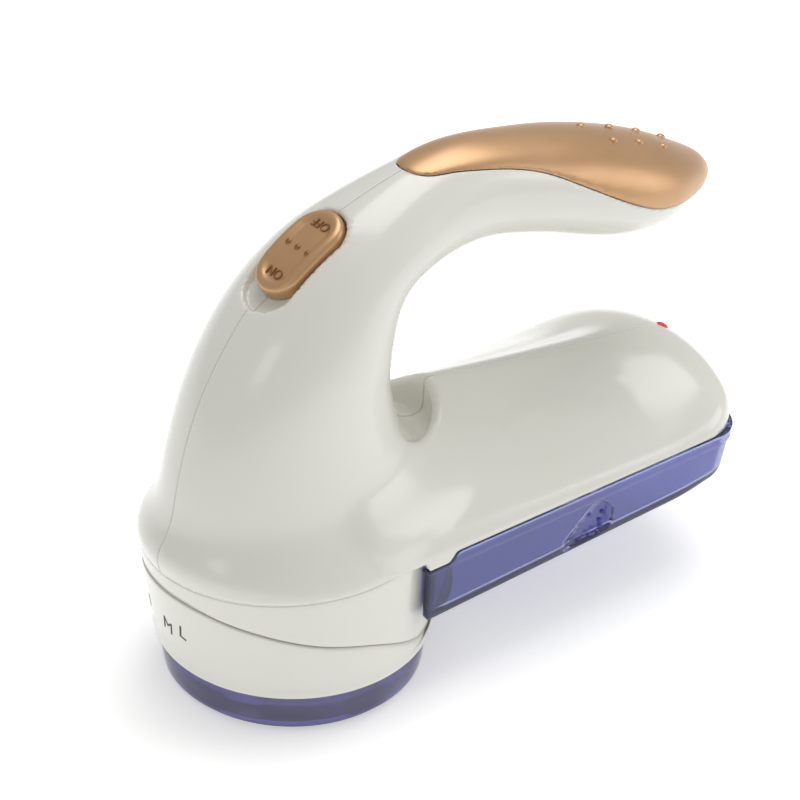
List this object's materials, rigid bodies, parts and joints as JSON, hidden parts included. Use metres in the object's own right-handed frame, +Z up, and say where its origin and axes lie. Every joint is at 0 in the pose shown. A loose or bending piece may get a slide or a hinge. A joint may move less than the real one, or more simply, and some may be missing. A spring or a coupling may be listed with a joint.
{
  "type": "fabric shaver",
  "caption": "Cordless fabric shaver with a swan-neck grip, slide switch, round cutting head with height dial, and a clear slide-out lint bin.",
  "frame": {"origin": "on the cutting head's axis, at the plane its distance ring rests on", "axes": "+X back along the tail and bin, +Z up, the mould halves meet on the plane Y = 0"},
  "size_m": [0.1709, 0.0722, 0.127],
  "materials": {
    "cream_plastic": "glossy moulded ABS, warm ivory",
    "bronze_trim": "satin copper-gold metallic paint",
    "violet_clear": "translucent blue-violet moulded plastic",
    "black_plastic": "fine moulded texture",
    "white_nylon": "natural nylon",
    "circuit_board": "coated laminate",
    "steel": "plated sheet steel",
    "foil_steel": "thin perforated stainless steel",
    "blade_steel": "ground stainless steel",
    "screw_steel": "zinc plated",
    "spring_steel": "nickel plated",
    "shaft_steel": "ground",
    "bush_brass": "sintered or turned",
    "cell_sleeve": "shrink sleeve",
    "red_lens": "clear red lens"
  },
  "bodies": {
    "housing": {"left_shell": "cream_plastic", "right_shell": "cream_plastic", "grip_inlay": "bronze_trim", "slide_switch_body": "steel", "switch_board": "circuit_board", "board_screws": "screw_steel", "shell_screws": "screw_steel", "head_collar": "cream_plastic", "scale_bezel": "cream_plastic", "foil_guard": "foil_steel", "foil_frame": "white_nylon", "lint_duct": "white_nylon", "motor_mount": "white_nylon", "motor_can": "steel", "motor_bushing": "bush_brass", "motor_end_cap": "black_plastic", "motor_terminals": "bush_brass", "motor_screws": "screw_steel", "head_screws": "screw_steel", "bin_deck": "cream_plastic", "deck_screws": "screw_steel", "battery_cradle": "black_plastic", "battery_cells": "cell_sleeve", "battery_tabs": "spring_steel", "charge_board": "circuit_board", "charge_socket": "black_plastic", "socket_pin": "bush_brass", "charge_led": "red_lens"},
    "switch_slider": {"switch_button": "bronze_trim", "switch_carrier": "black_plastic", "slide_switch_lever": "black_plastic"},
    "rotor": {"motor_shaft": "shaft_steel", "drive_coupling": "white_nylon", "blade_spring": "spring_steel", "fan_hub": "black_plastic", "cutter_blades": "blade_steel", "blade_screw": "screw_steel"},
    "bin": {"lint_bin": "violet_clear"},
    "dial": {"height_dial": "violet_clear"},
    "lift_ring": {"distance_ring": "violet_clear"}
  },
  "joints": [
    {"name": "switch_slide", "type": "slide", "parent": "housing", "child": "switch_slider", "axis": [-0.8442, 0, -0.536], "range_m": [0, 0.0044]},
    {"name": "blade_spin", "type": "hinge", "parent": "housing", "child": "rotor", "pos_m": [0, 0, 0.03], "axis": [0, 0, 1], "continuous": true},
    {"name": "bin_slide", "type": "slide", "parent": "housing", "child": "bin", "axis": [1, 0, 0], "range_m": [0, 0.085]},
    {"name": "dial_turn", "type": "hinge", "parent": "housing", "child": "dial", "pos_m": [0, 0, 0.006], "axis": [0, 0, 1], "range_deg": [-10.4, 10.4]},
    {"name": "ring_lift", "type": "slide", "parent": "housing", "child": "lift_ring", "axis": [0, 0, 1], "range_m": [-0.0008, 0.0008]}
  ],
  "couplings": [
    {"joint": "ring_lift", "follows": "dial_turn", "m_per_rad": 0.0044}
  ]
}
